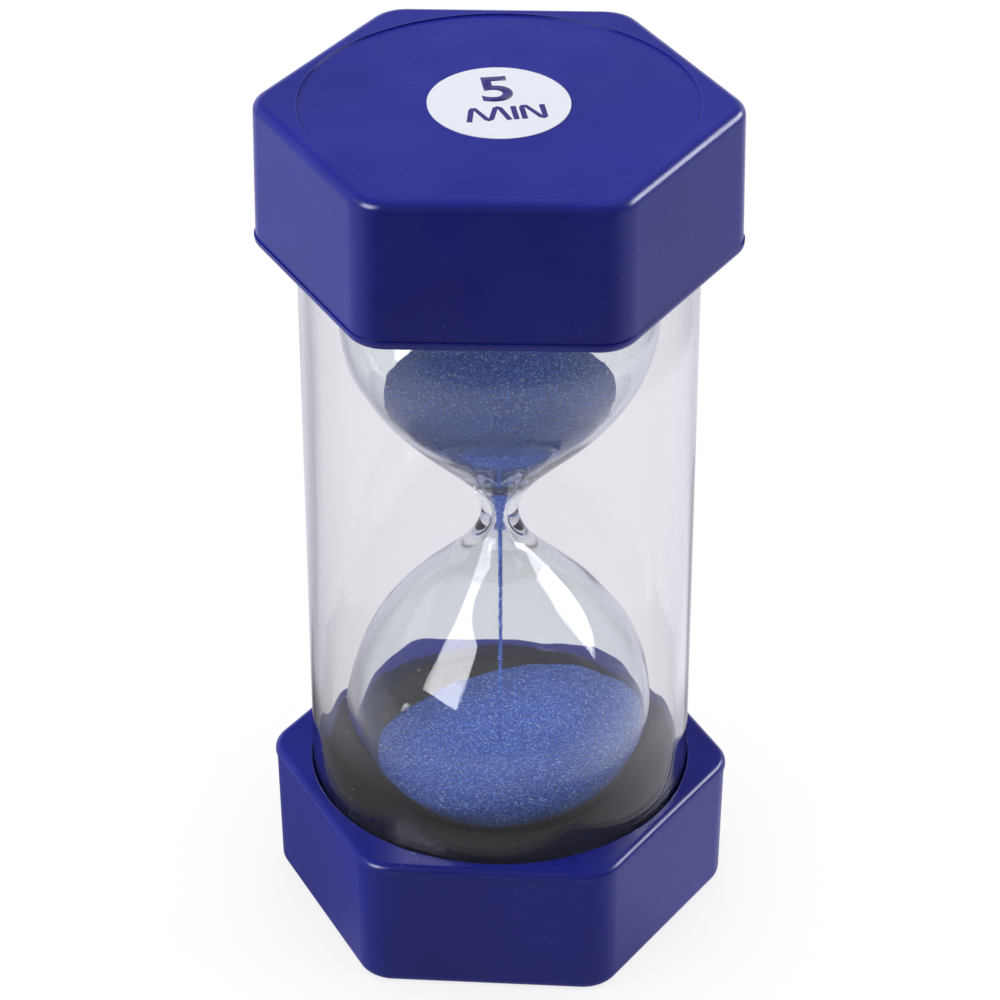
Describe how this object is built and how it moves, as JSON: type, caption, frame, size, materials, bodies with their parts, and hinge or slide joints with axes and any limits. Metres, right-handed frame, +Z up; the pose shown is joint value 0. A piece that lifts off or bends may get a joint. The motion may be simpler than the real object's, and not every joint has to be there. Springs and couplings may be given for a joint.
{
  "type": "hourglass",
  "caption": "Sand timer with two clear blown bulbs in a clear tube, held between hexagonal blue end caps, with blue sand part way through its run.",
  "frame": {"origin": "middle of the lower cap's closed face, on the tube's axis, at the level the timer stands on", "axes": "+Z up along the tube towards the labelled upper cap; two flats of each cap face -Y and +Y, two corners lie on the X axis"},
  "size_m": [0.0834, 0.0754, 0.16],
  "materials": {
    "cap_plastic": "satin-gloss moulded plastic, deep blue",
    "plate_plastic": "satin-gloss moulded plastic, deep blue",
    "tube_plastic": "clear polished plastic",
    "bulb_glass": "clear blown glass",
    "plug": "pale stopper",
    "foam": "black open foam",
    "sand": "dry blue sand with bright grains",
    "label": "white paper label"
  },
  "bodies": {
    "root": {"lower_cap": "cap_plastic", "upper_cap": "cap_plastic", "lower_cover_plate": "plate_plastic", "upper_cover_plate": "plate_plastic", "viewing_tube": "tube_plastic", "glass_bulbs": "bulb_glass", "filling_plug": "plug", "lower_foam_pad": "foam", "upper_foam_pad": "foam", "upper_sand": "sand", "lower_sand": "sand", "sand_stream": "sand", "upper_label": "label", "lower_label": "label"}
  },
  "joints": []
}
